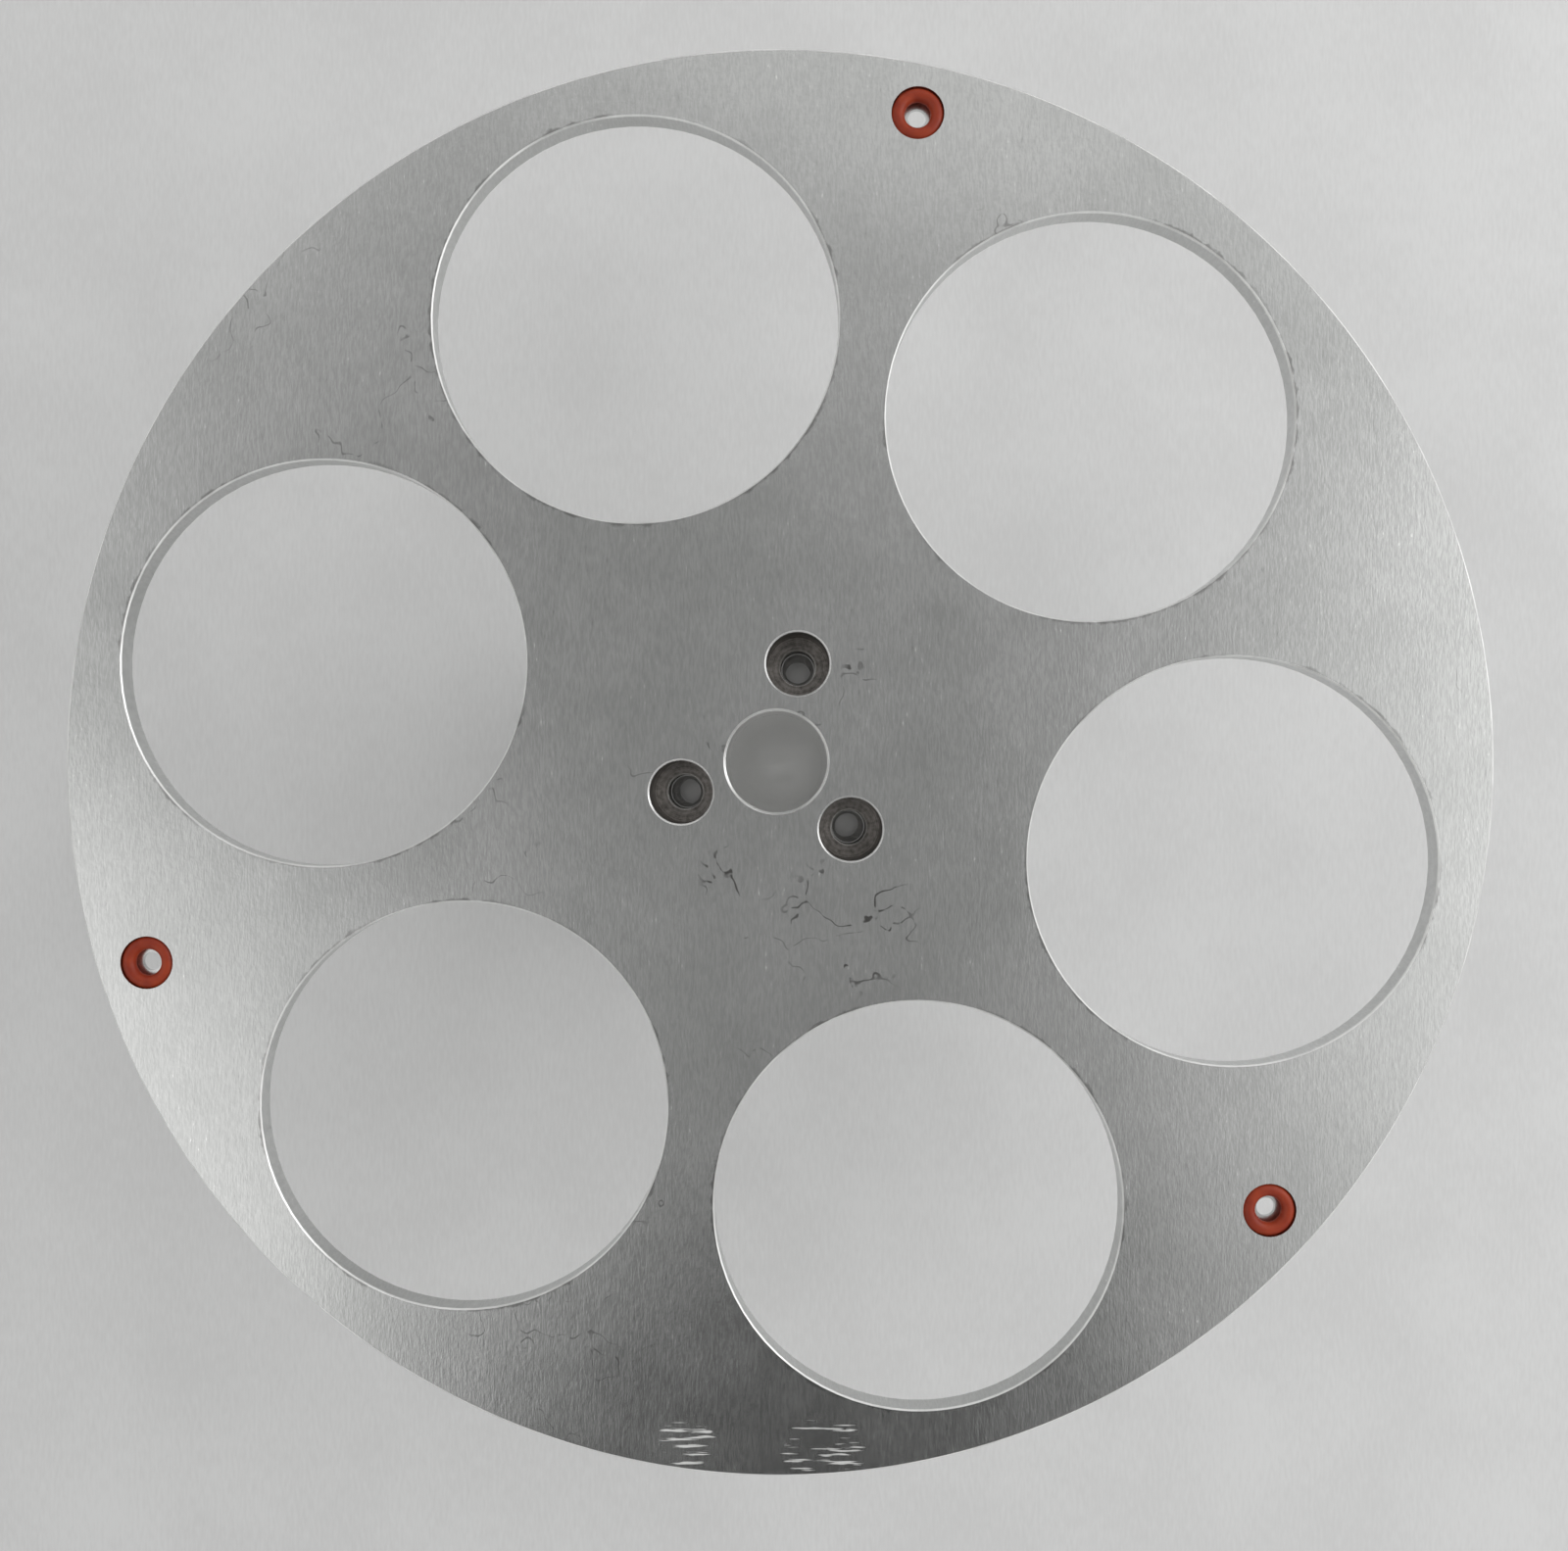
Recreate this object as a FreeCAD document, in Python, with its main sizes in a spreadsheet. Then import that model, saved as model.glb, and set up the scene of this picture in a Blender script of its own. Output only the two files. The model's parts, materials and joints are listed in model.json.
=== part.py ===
import FreeCAD, Part
import os

import Sketcher

# A film developing reel: a perforated aluminium flange on a tall drum hub.
# Millimetres, +Z up along the spindle, origin at the centre of the hub's lower end.
# One screw hole, rim hole and gland lie on +Y; one large opening lies on +X.

NODE_FOLDER = "parts"
os.makedirs(NODE_FOLDER, exist_ok=True)

doc = FreeCAD.newDocument("developing_reel")

# ---------------------------------------------------------------- driving dimensions
SIZES = [
    ("flange_diameter", 177.8, "outer diameter of the flange"),
    ("flange_thickness", 3.175, "thickness of the flange plate"),
    ("rim_chamfer", 0.2, "edge break round the rim"),
    ("opening_diameter", 50.8, "each large drain opening"),
    ("opening_circle", 115.9, "pitch circle of the drain openings"),
    ("opening_count", 6, "number of drain openings"),
    ("opening_chamfer", 0.15, "edge break of a drain opening"),
    ("boss_height", 7.94, "spigot boss below the plate"),
    ("boss_play", 0.05, "radial clearance of the boss in the drum"),
    ("boss_chamfer", 0.6, "lead-in chamfer of the boss"),
    ("bore_diameter", 12.7, "spindle bore"),
    ("bore_chamfer", 0.25, "edge break of the spindle bore"),
    ("screw_circle", 25.0, "pitch circle of the clamping screws"),
    ("screw_count", 3, "number of clamping screws at each end"),
    ("head_diameter", 7.94, "counterbore for a socket head"),
    ("head_depth", 7.5, "depth of the counterbore below the top face"),
    ("shank_diameter", 4.4, "clearance hole below the counterbore"),
    ("head_chamfer", 0.18, "edge break of a counterbore"),
    ("shank_chamfer", 0.15, "edge break of a clearance hole, in the counterbore"),
    ("tapping_diameter", 3.45, "tapping drill of the end plugs, for number 8-32"),
    ("tapping_depth", 9.0, "depth of a tapped hole, flat at its end"),
    ("tapping_chamfer", 0.35, "countersink at the mouth of a tapped hole"),
    ("gland_circle", 165.4, "pitch circle of the rim glands"),
    ("gland_count", 3, "number of rim glands"),
    ("gland_diameter", 6.6, "diameter of a gland for an O-ring"),
    ("gland_depth", 1.6, "depth of a gland"),
    ("rim_hole_diameter", 2.3, "through hole at the floor of a gland"),
    ("rim_countersink", 1.0, "45 degree countersink of a rim hole, from below"),
    ("ring_section", 1.7, "O-ring cord diameter"),
    ("drum_diameter", 50.8, "outer diameter of the drum"),
    ("drum_wall", 3.175, "wall thickness of the drum"),
    ("drum_height", 58.74, "height of the drum between its seats"),
    ("drum_chamfer", 0.3, "edge break at the ends of the drum"),
    ("slot_width", 1.6, "slot that holds the film's end"),
    ("slot_length", 40.0, "height of the film slot"),
    ("plug_thickness", 12.7, "thickness of an end plug"),
    ("plug_gap", 0.2, "draw-down gap between boss and plug"),
    ("sleeve_diameter", 19.05, "outer diameter of the spindle sleeve"),
]

sheet = doc.addObject("Spreadsheet::Sheet", "sizes")
for row, (alias, value, meaning) in enumerate(SIZES, start=1):
    sheet.set("A%d" % row, meaning)
    sheet.set("B%d" % row, str(value))
    sheet.setAlias("B%d" % row, alias)
doc.recompute()


# ---------------------------------------------------------------- helpers
UPWARDS = FreeCAD.Vector(0, 0, 1)
START_SIZE = 1.0    # a sketch dimension's size until the sheet drives it
ORIGIN = X_AXIS = -1    # a sketch's own numbers for its origin and axes
Y_AXIS = -2
SAME = 1e-4    # how closely an edge must match a size


def size(alias):
    """The number that the sheet holds for an alias."""
    return float(getattr(sheet, alias))


def new_body(name):
    """An empty body whose label names its file."""
    body = doc.addObject("PartDesign::Body", name)
    body.Label = name
    return body


def lift(body, height):
    """Raise a whole piece by an expression on the sheet."""
    body.setExpression("Placement.Base.z", height)


def plane_of(body, role):
    """One of the body's own origin planes."""
    for feature in body.Origin.OriginFeatures:
        if feature.Role == role:
            return feature
    raise RuntimeError("no plane " + role)


def circle_sketch(body, name, diameters, out_x=None, out_y=None, level=None):
    """Concentric circles on the body's XY plane, on its Z axis or out along X or Y."""
    sketch = body.newObject("Sketcher::SketchObject", name)
    sketch.AttachmentSupport = (plane_of(body, "XY_Plane"), [""])
    sketch.MapMode = "FlatFace"
    if level:
        sketch.setExpression("AttachmentOffset.Base.z", level)
    for index, diameter in enumerate(diameters):
        centre = FreeCAD.Vector(1 if out_x else 0, 1 if out_y else 0, 0)
        circle = Part.Circle(centre, UPWARDS, START_SIZE * (1 + index))
        sketch.addGeometry(circle, False)
        if out_x:
            sketch.addConstraint(Sketcher.Constraint("PointOnObject", index, 3, X_AXIS))
            bind(sketch, "DistanceX", (ORIGIN, 1, index, 3), "out_%d" % index, out_x)
        elif out_y:
            sketch.addConstraint(Sketcher.Constraint("PointOnObject", index, 3, Y_AXIS))
            bind(sketch, "DistanceY", (ORIGIN, 1, index, 3), "out_%d" % index, out_y)
        else:
            sketch.addConstraint(Sketcher.Constraint("Coincident", index, 3, ORIGIN, 1))
        bind(sketch, "Diameter", (index,), "diameter_%d" % index, diameter)
    return sketch


def bind(sketch, kind, points, name, expression):
    """Add a sketch dimension and drive it from the sheet."""
    number = sketch.addConstraint(Sketcher.Constraint(kind, *points, START_SIZE))
    sketch.renameConstraint(number, name)
    sketch.setExpression("Constraints." + name, expression)


def pad(body, sketch, name, length, downwards=False):
    """Raise a profile by a length from the sheet."""
    feature = body.newObject("PartDesign::Pad", name)
    feature.Profile = sketch
    feature.setExpression("Length", length)
    feature.Reversed = downwards
    doc.recompute()
    return feature


def pocket(body, sketch, name, length=None, upwards=False):
    """Cut a profile down (or up) by a length, or right through both ways."""
    before = body.Shape.Volume
    feature = body.newObject("PartDesign::Pocket", name)
    feature.Profile = sketch
    if length:
        feature.setExpression("Length", length)
        feature.Reversed = upwards
    else:
        feature.Type = "ThroughAll"
        feature.Midplane = True
    doc.recompute()
    if body.Shape.Volume >= before:
        raise RuntimeError(name + " cut nothing")
    return feature


def ring_of(body, name, features, sketch, count):
    """Repeat cuts evenly round the Z axis."""
    before = body.Shape.Volume
    pattern = body.newObject("PartDesign::PolarPattern", name)
    pattern.Originals = features
    pattern.Axis = (sketch, ["N_Axis"])
    pattern.Angle = 360
    pattern.setExpression("Occurrences", count)
    body.Tip = pattern
    doc.recompute()
    if body.Shape.Volume >= before:
        raise RuntimeError(name + " repeated nothing")
    return pattern


def chamfer(body, name, diameter, level, width, off_axis=False):
    """Break the circular edges of one diameter at one height of the body."""
    before = body.Shape.Volume
    tip = body.Tip
    to_local = body.Placement.inverse()
    chosen = []
    for number, edge in enumerate(body.Shape.Edges, start=1):
        if not isinstance(edge.Curve, Part.Circle):
            continue
        centre = to_local.multVec(edge.Curve.Center)
        same_size = abs(2 * edge.Curve.Radius - diameter) < SAME
        same_level = abs(centre.z - level) < SAME
        outboard = abs(centre.x) + abs(centre.y) > SAME
        if same_size and same_level and outboard == off_axis:
            chosen.append("Edge%d" % number)
    if not chosen:
        raise RuntimeError(name + " found no edge")
    feature = body.newObject("PartDesign::Chamfer", name)
    feature.Base = (tip, chosen)
    feature.setExpression("Size", width)
    doc.recompute()
    if body.Shape.Volume >= before:
        raise RuntimeError(name + " cut nothing")
    return feature


# ---------------------------------------------------------------- the flange
def make_flange():
    """A flat plate with a spigot boss, turned and drilled from one blank."""
    body = new_body("flange_plate")
    lift(body, "sizes.drum_height")
    top = size("flange_thickness")
    boss = size("drum_diameter") - 2 * size("drum_wall") - 2 * size("boss_play")

    disc = circle_sketch(body, "disc_outline", ["sizes.flange_diameter"])
    pad(body, disc, "disc", "sizes.flange_thickness")
    spigot = circle_sketch(
        body, "boss_outline",
        ["sizes.drum_diameter - 2 * sizes.drum_wall - 2 * sizes.boss_play"])
    pad(body, spigot, "boss", "sizes.boss_height", downwards=True)
    chamfer(body, "rim_top_break", size("flange_diameter"), top, "sizes.rim_chamfer")
    chamfer(body, "rim_lower_break", size("flange_diameter"), 0, "sizes.rim_chamfer")
    chamfer(body, "boss_lead_in", boss, -size("boss_height"), "sizes.boss_chamfer")

    bore = circle_sketch(body, "bore_outline", ["sizes.bore_diameter"])
    pocket(body, bore, "bore")
    chamfer(body, "bore_break", size("bore_diameter"), top, "sizes.bore_chamfer")

    opening = circle_sketch(body, "opening_outline", ["sizes.opening_diameter"],
                            out_x="sizes.opening_circle / 2")
    first = pocket(body, opening, "opening")
    ring_of(body, "openings", [first], opening, "sizes.opening_count")
    for name, level in (("opening_top_break", top), ("opening_lower_break", 0)):
        chamfer(body, name, size("opening_diameter"), level, "sizes.opening_chamfer",
                off_axis=True)

    head = circle_sketch(body, "head_outline", ["sizes.head_diameter"],
                         out_y="sizes.screw_circle / 2", level="sizes.flange_thickness")
    first_head = pocket(body, head, "head_seat", "sizes.head_depth")
    shank = circle_sketch(body, "shank_outline", ["sizes.shank_diameter"],
                          out_y="sizes.screw_circle / 2")
    first_shank = pocket(body, shank, "shank_hole")
    ring_of(body, "screw_holes", [first_head, first_shank], head, "sizes.screw_count")
    chamfer(body, "head_break", size("head_diameter"), top, "sizes.head_chamfer",
            off_axis=True)
    chamfer(body, "shank_break", size("shank_diameter"), top - size("head_depth"),
            "sizes.shank_chamfer", off_axis=True)

    gland = circle_sketch(body, "gland_outline", ["sizes.gland_diameter"],
                          out_y="sizes.gland_circle / 2", level="sizes.flange_thickness")
    first_gland = pocket(body, gland, "gland", "sizes.gland_depth")
    rim_hole = circle_sketch(body, "rim_hole_outline", ["sizes.rim_hole_diameter"],
                             out_y="sizes.gland_circle / 2")
    first_hole = pocket(body, rim_hole, "rim_hole")
    ring_of(body, "glands", [first_gland, first_hole], gland, "sizes.gland_count")
    chamfer(body, "rim_countersinks", size("rim_hole_diameter"), 0,
            "sizes.rim_countersink", off_axis=True)
    return body


def make_o_ring(number):
    """A soft ring pressed into one rim gland, standing a little proud of the face."""
    ring = doc.addObject("Part::Torus", "o_ring_%d" % number)
    ring.Label = "o_ring_%d" % number
    ring.setExpression("Radius1", "(sizes.gland_diameter - sizes.ring_section) / 2")
    ring.setExpression("Radius2", "sizes.ring_section / 2")
    turn = "%d * 360 / sizes.gland_count + 90" % (number - 1)
    ring.setExpression("Placement.Base.x", "sizes.gland_circle / 2 * cos(%s)" % turn)
    ring.setExpression("Placement.Base.y", "sizes.gland_circle / 2 * sin(%s)" % turn)
    ring.setExpression("Placement.Base.z",
                       "sizes.drum_height + sizes.flange_thickness"
                       " - sizes.gland_depth + sizes.ring_section / 2")
    return ring


# ---------------------------------------------------------------- the hub
def make_drum():
    """The tube that the film winds on, with a slot for the film's end."""
    body = new_body("drum_tube")
    inner = "sizes.drum_diameter - 2 * sizes.drum_wall"
    wall = circle_sketch(body, "wall_outline", ["sizes.drum_diameter", inner])
    pad(body, wall, "wall", "sizes.drum_height")
    for name, level in (("lower_break", 0), ("upper_break", size("drum_height"))):
        chamfer(body, name, size("drum_diameter"), level, "sizes.drum_chamfer")
    pocket_slot(body)
    return body


def pocket_slot(body):
    """Cut the film slot through the wall on the -Y side only."""
    sketch = body.newObject("Sketcher::SketchObject", "slot_outline")
    sketch.AttachmentSupport = (plane_of(body, "XZ_Plane"), [""])
    sketch.MapMode = "FlatFace"
    corners = [(-1, 1), (1, 1), (1, 2), (-1, 2)]
    for index in range(4):
        start = FreeCAD.Vector(*corners[index], 0)
        finish = FreeCAD.Vector(*corners[(index + 1) % 4], 0)
        sketch.addGeometry(Part.LineSegment(start, finish), False)
    for index in range(4):
        joint = Sketcher.Constraint("Coincident", index, 2, (index + 1) % 4, 1)
        sketch.addConstraint(joint)
        level_or_upright = ("Horizontal", "Vertical")[index % 2]
        sketch.addConstraint(Sketcher.Constraint(level_or_upright, index))
    bind(sketch, "DistanceX", (0, 1, 0, 2), "width", "sizes.slot_width")
    bind(sketch, "DistanceY", (1, 1, 1, 2), "length", "sizes.slot_length")
    bind(sketch, "DistanceX", (ORIGIN, 1, 0, 2), "half_width", "sizes.slot_width / 2")
    bind(sketch, "DistanceY", (ORIGIN, 1, 0, 2), "lower_end",
         "(sizes.drum_height - sizes.slot_length) / 2")
    pocket(body, sketch, "slot", "sizes.drum_diameter", upwards=True)


def make_plug(name, level, mouth_up):
    """A thick washer pressed into the drum, with tapped holes for a flange."""
    mouth = "sizes.plug_thickness" if mouth_up else None
    mouth_level = size("plug_thickness") if mouth_up else 0
    body = new_body(name)
    lift(body, level)
    outline = circle_sketch(body, name + "_outline",
                            ["sizes.drum_diameter - 2 * sizes.drum_wall",
                             "sizes.sleeve_diameter"])
    pad(body, outline, name + "_disc", "sizes.plug_thickness")
    tapped = circle_sketch(body, name + "_tapping", ["sizes.tapping_diameter"],
                           out_y="sizes.screw_circle / 2", level=mouth)
    first = pocket(body, tapped, name + "_tapped_hole", "sizes.tapping_depth",
                   upwards=not mouth_up)
    ring_of(body, name + "_tapped_holes", [first], tapped, "sizes.screw_count")
    chamfer(body, name + "_countersink", size("tapping_diameter"), mouth_level,
            "sizes.tapping_chamfer", off_axis=True)
    return body


def make_sleeve():
    """The tube that runs on the spindle, pressed into both plugs."""
    body = new_body("spindle_sleeve")
    lift(body, "sizes.boss_height + sizes.plug_gap")
    outline = circle_sketch(body, "sleeve_outline",
                            ["sizes.sleeve_diameter", "sizes.bore_diameter"])
    pad(body, outline, "sleeve",
        "sizes.drum_height - 2 * (sizes.boss_height + sizes.plug_gap)")
    length = size("drum_height") - 2 * (size("boss_height") + size("plug_gap"))
    for name, level in (("sleeve_lower_break", 0), ("sleeve_upper_break", length)):
        chamfer(body, name, size("bore_diameter"), level, "sizes.bore_chamfer")
    return body


nodes = [make_flange()]
nodes += [make_o_ring(number) for number in (1, 2, 3)]
nodes.append(make_drum())
nodes.append(make_plug("upper_end_plug",
                       "sizes.drum_height - sizes.boss_height"
                       " - sizes.plug_gap - sizes.plug_thickness",
                       mouth_up=True))
nodes.append(make_plug("lower_end_plug", "sizes.boss_height + sizes.plug_gap",
                       mouth_up=False))
nodes.append(make_sleeve())
doc.recompute()

# ---------------------------------------------------------------- checks, then files
for item in doc.Objects:
    if "Invalid" in item.State or "Error" in item.State:
        raise RuntimeError("%s is %s" % (item.Name, item.State))
for node in nodes:
    if node.Shape.isNull() or not node.Shape.isValid():
        raise RuntimeError(node.Label + " has no valid shape")
    if len(node.Shape.Solids) != 1:
        raise RuntimeError(node.Label + " is not one solid")

for node in nodes:
    node.Shape.exportStep(os.path.join(NODE_FOLDER, node.Label + ".step"))
    box = node.Shape.BoundBox
    print("%-16s %8.2f mm3  z %6.2f to %6.2f" % (node.Label, node.Shape.Volume,
                                                 box.ZMin, box.ZMax))
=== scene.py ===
# %% [markdown]
# # A film developing reel
# The reel is a flat satin flange with six large drain openings, three red O-rings near its rim,
# and a tall drum hub with a spindle bore. Its hard parts come ready made, as the frame. This
# lesson gives them their finishes, makes the O-rings and the screw threads as fine meshes, and
# sets up a camera, a sheet of paper and soft light.

# %% Load the frame
import json
import math

import bpy
from mathutils import Euler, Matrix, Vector


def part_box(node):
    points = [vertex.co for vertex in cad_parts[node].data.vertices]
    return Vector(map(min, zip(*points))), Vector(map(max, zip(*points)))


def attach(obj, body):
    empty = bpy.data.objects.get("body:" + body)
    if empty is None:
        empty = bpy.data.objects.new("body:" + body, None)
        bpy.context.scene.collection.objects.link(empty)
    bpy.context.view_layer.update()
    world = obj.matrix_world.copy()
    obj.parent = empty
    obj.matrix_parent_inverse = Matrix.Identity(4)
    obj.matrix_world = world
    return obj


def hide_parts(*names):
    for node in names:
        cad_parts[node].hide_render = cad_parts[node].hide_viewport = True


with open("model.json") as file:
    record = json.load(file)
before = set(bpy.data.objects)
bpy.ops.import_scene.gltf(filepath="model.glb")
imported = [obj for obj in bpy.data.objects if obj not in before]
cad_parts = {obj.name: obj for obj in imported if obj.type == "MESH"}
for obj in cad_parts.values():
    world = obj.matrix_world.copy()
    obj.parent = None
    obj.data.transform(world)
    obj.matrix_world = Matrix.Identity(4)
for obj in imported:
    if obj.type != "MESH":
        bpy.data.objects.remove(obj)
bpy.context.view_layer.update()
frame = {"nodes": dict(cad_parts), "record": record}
nodes = frame["nodes"]
print("parts of the frame:", sorted(nodes))

# %% [markdown]
# ## Sizes to work from
# Most of the sizes below are read from a part's box, so that the finishes and the fine meshes
# follow the parts if they change. A box doesn't tell the radius of a hole, so the few radii that
# are needed are given as numbers, here and where each hole gets its finish.

# %% Read the main sizes from the parts
MM = 0.001

flange_low, flange_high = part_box("flange_plate")
drum_low, drum_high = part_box("drum_tube")

face_level = flange_high[2]
rim_radius = (flange_high[0] - flange_low[0]) / 2
drum_radius = (drum_high[0] - drum_low[0]) / 2
drain_boxes = [opening for opening in frame["record"]["physics"]["openings"]
               if opening["name"].startswith("drain_opening")]
drain_pitch = (drain_boxes[0]["box_m"][0][0] + drain_boxes[0]["box_m"][1][0]) / 2
DRAIN_RADIUS = 25.4 * MM
print("flange face at", round(face_level / MM, 2), "mm, rim radius", round(rim_radius / MM, 2))
print(len(drain_boxes), "drain openings at radius", round(drain_pitch / MM, 2), "mm")

# %% [markdown]
# ## Camera
# The reel is seen from straight above, from close by, so the walls of the openings show as thin
# crescents on their outer sides. A far camera with a long lens would hide those walls. The camera
# is turned a little about its own axis and leans less than one degree.

# %% Place the camera
VIEW_HEIGHT = 180 * MM
VIEW_TURN = math.radians(12.3)
VIEW_LEAN = (math.radians(0.11), math.radians(0.63))
VIEW_OFFSET = (3.3 * MM, -1.4 * MM)
SENSOR_WIDTH = 36.0
LENS = 33.2

camera_data = bpy.data.cameras.new("camera_above")
camera_data.sensor_width = SENSOR_WIDTH
camera_data.lens = LENS
camera_data.clip_start = 10 * MM
camera = bpy.data.objects.new("camera_above", camera_data)
camera.location = (*VIEW_OFFSET, face_level + VIEW_HEIGHT)
camera.rotation_euler = Euler((VIEW_LEAN[0], VIEW_LEAN[1], VIEW_TURN))
bpy.context.scene.collection.objects.link(camera)
bpy.context.scene.camera = camera
print("camera", round((face_level + VIEW_HEIGHT) / MM), "mm above the table")

# %% [markdown]
# ## A small set of node tools
# Every finish here is a tree of shader nodes. They could be wired one by one in the editor. Short
# functions keep long trees readable instead: one adds a node and fills its sockets, one does
# arithmetic, one turns a range of values into a mask from 0 to 1, and the rest build on those.

# %% Node tools
def add_node(tree, kind, inputs=None, **settings):
    """A new node; an input is either a plain value or the socket that feeds it."""
    node = tree.nodes.new(kind)
    for name, value in settings.items():
        setattr(node, name, value)
    for name, value in (inputs or {}).items():
        if isinstance(value, bpy.types.NodeSocket):
            tree.links.new(value, node.inputs[name])
        else:
            node.inputs[name].default_value = value
    return node


def calc(tree, operation, first, second=0.0, third=0.0):
    """The result of one Math node."""
    inputs = {0: first, 1: second, 2: third}
    return add_node(tree, "ShaderNodeMath", inputs, operation=operation).outputs[0]


def mask(tree, value, start, end):
    """0 where value is at start, 1 where it is at end, smooth between."""
    inputs = {"Value": value, "From Min": start, "From Max": end}
    node = add_node(tree, "ShaderNodeMapRange", inputs, interpolation_type="SMOOTHSTEP")
    return node.outputs["Result"]


def noise(tree, place, scale, detail=2.0, roughness=0.5):
    """A soft random value at each place, about 0.5 on average."""
    inputs = {"Vector": place, "Scale": scale, "Detail": detail, "Roughness": roughness}
    return add_node(tree, "ShaderNodeTexNoise", inputs).outputs["Fac"]


def blend_colours(tree, amount, first, second):
    """first where amount is 0, second where it is 1."""
    inputs = {0: amount, 6: first, 7: second}
    node = add_node(tree, "ShaderNodeMix", inputs, data_type="RGBA")
    return node.outputs[2]


def measure_place(tree, place):
    """The distance of a place from the reel's axis, then its x, y and z."""
    parts = add_node(tree, "ShaderNodeSeparateXYZ", {"Vector": place}).outputs
    side_squared = calc(tree, "POWER", parts["X"], 2)
    front_squared = calc(tree, "POWER", parts["Y"], 2)
    radius = calc(tree, "SQRT", calc(tree, "ADD", side_squared, front_squared))
    return radius, parts["X"], parts["Y"], parts["Z"]


def new_material(name):
    """A material with an empty tree, its surface shader and its object coordinates."""
    material = bpy.data.materials.new(name)
    material.use_nodes = True
    tree = material.node_tree
    tree.nodes.clear()
    shader = add_node(tree, "ShaderNodeBsdfPrincipled")
    output = add_node(tree, "ShaderNodeOutputMaterial")
    tree.links.new(shader.outputs["BSDF"], output.inputs["Surface"])
    place = add_node(tree, "ShaderNodeTexCoord").outputs["Object"]
    return material, tree, shader, place


def stretch(tree, place, turn, scale):
    """Coordinates turned about Z, then scaled by a different number along each axis."""
    turned = add_node(tree, "ShaderNodeMapping", {"Vector": place, "Rotation": (0, 0, turn)})
    inputs = {"Vector": turned.outputs[0], "Scale": scale}
    return add_node(tree, "ShaderNodeMapping", inputs).outputs[0]


def bump(tree, shader, height, depth, under=None):
    """Let a height pattern, up to depth metres deep, tilt the surface."""
    inputs = {"Height": height, "Distance": depth, "Strength": 1.0}
    if under:
        inputs["Normal"] = under
    normal = add_node(tree, "ShaderNodeBump", inputs).outputs["Normal"]
    tree.links.new(normal, shader.inputs["Normal"])
    return normal


print("node tools ready")

# %% [markdown]
# ## The satin finish of the flange
# Sheet aluminium comes from the mill with a fine straight grain, and handling adds short bright
# nicks and dark ticks that follow it. The grain could be a picture or a wave pattern. It is noise
# stretched along one direction here, because that never repeats and can be any width.

# %% Start the satin material
satin, tree, shader, place = new_material("satin_flange")
GRAIN_ALONG = 1 / (1.3 * MM)
GRAIN_ACROSS = 1 / (0.24 * MM)
grain_place = stretch(tree, place, -VIEW_TURN, (GRAIN_ACROSS, GRAIN_ALONG, GRAIN_ALONG))
radius, side, front, height = measure_place(tree, place)
on_face = mask(tree, height, face_level - 0.2 * MM, face_level - 0.02 * MM)
print("satin material started, grain", round(1 / GRAIN_ACROSS / MM, 2), "mm wide")

# %% Grain, nicks and stains
grain = noise(tree, grain_place, 1.0, 3.0, 0.6)
long_grain_scale = (GRAIN_ACROSS * 0.6, GRAIN_ALONG / 6, GRAIN_ALONG)
long_grain_place = stretch(tree, place, -VIEW_TURN, long_grain_scale)
long_grain = noise(tree, long_grain_place, 1.0, 2.0)
bright_nicks = calc(tree, "MULTIPLY", mask(tree, grain, 0.67, 0.75),
                    mask(tree, noise(tree, place, 1 / (9 * MM)), 0.45, 0.62))
dark_ticks = calc(tree, "MULTIPLY", mask(tree, grain, 0.34, 0.24),
                  mask(tree, noise(tree, place, 1 / (13 * MM)), 0.42, 0.6))
speckle = noise(tree, place, 1 / (0.45 * MM), 2.0, 0.6)
stains = noise(tree, place, 1 / (28 * MM), 3.0, 0.6)
smudges = noise(tree, place, 1 / (6 * MM), 4.0, 0.65)
print("grain, nicks, ticks, speckle, stains and smudges")

# %% [markdown]
# ## Scratches and scuffs
# A screw driver that slips leaves dark hairlines beside the bore, and the lower rim is scuffed in
# pale streaks. Scratches could be drawn as curves, one by one. A hairline is a contour line of a
# slow noise instead, which wanders as a real scratch does, shown only where a second noise allows
# it. Faint ones lie all over the face, and strong ones only in a few round patches beside the
# bore. The scuffs are noise drawn out sideways, in two round patches.


# %% Hairline scratches
def hairline(scale, width, shift, thinning):
    """Wandering lines: where a slow noise passes its middle value."""
    inputs = {"Vector": place, "Rotation": (0, 0, -VIEW_TURN), "Location": shift}
    moved = add_node(tree, "ShaderNodeMapping", inputs).outputs[0]
    slow = noise(tree, moved, scale, 3.0, 0.55)
    off_line = calc(tree, "ABSOLUTE", calc(tree, "SUBTRACT", slow, 0.5))
    line = mask(tree, off_line, width, width * 0.3)
    allowed = mask(tree, noise(tree, moved, scale * 0.55, 1.0), thinning, thinning + 0.04)
    broken = mask(tree, noise(tree, moved, scale * 9, 1.0), 0.4, 0.52)
    return calc(tree, "MULTIPLY", calc(tree, "MULTIPLY", line, allowed), broken)


def patch(centre, reach):
    """1 round a place on the face, fading to 0 at reach."""
    inputs = {0: place, 1: (*centre, face_level)}
    offset = add_node(tree, "ShaderNodeVectorMath", inputs, operation="DISTANCE").outputs["Value"]
    return mask(tree, offset, reach, reach * 0.6)


def patches(places):
    """1 inside any of some round patches, each a centre and a reach."""
    whole = 0.0
    for centre, reach in places:
        whole = calc(tree, "MAXIMUM", whole, patch(centre, reach))
    return whole


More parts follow.
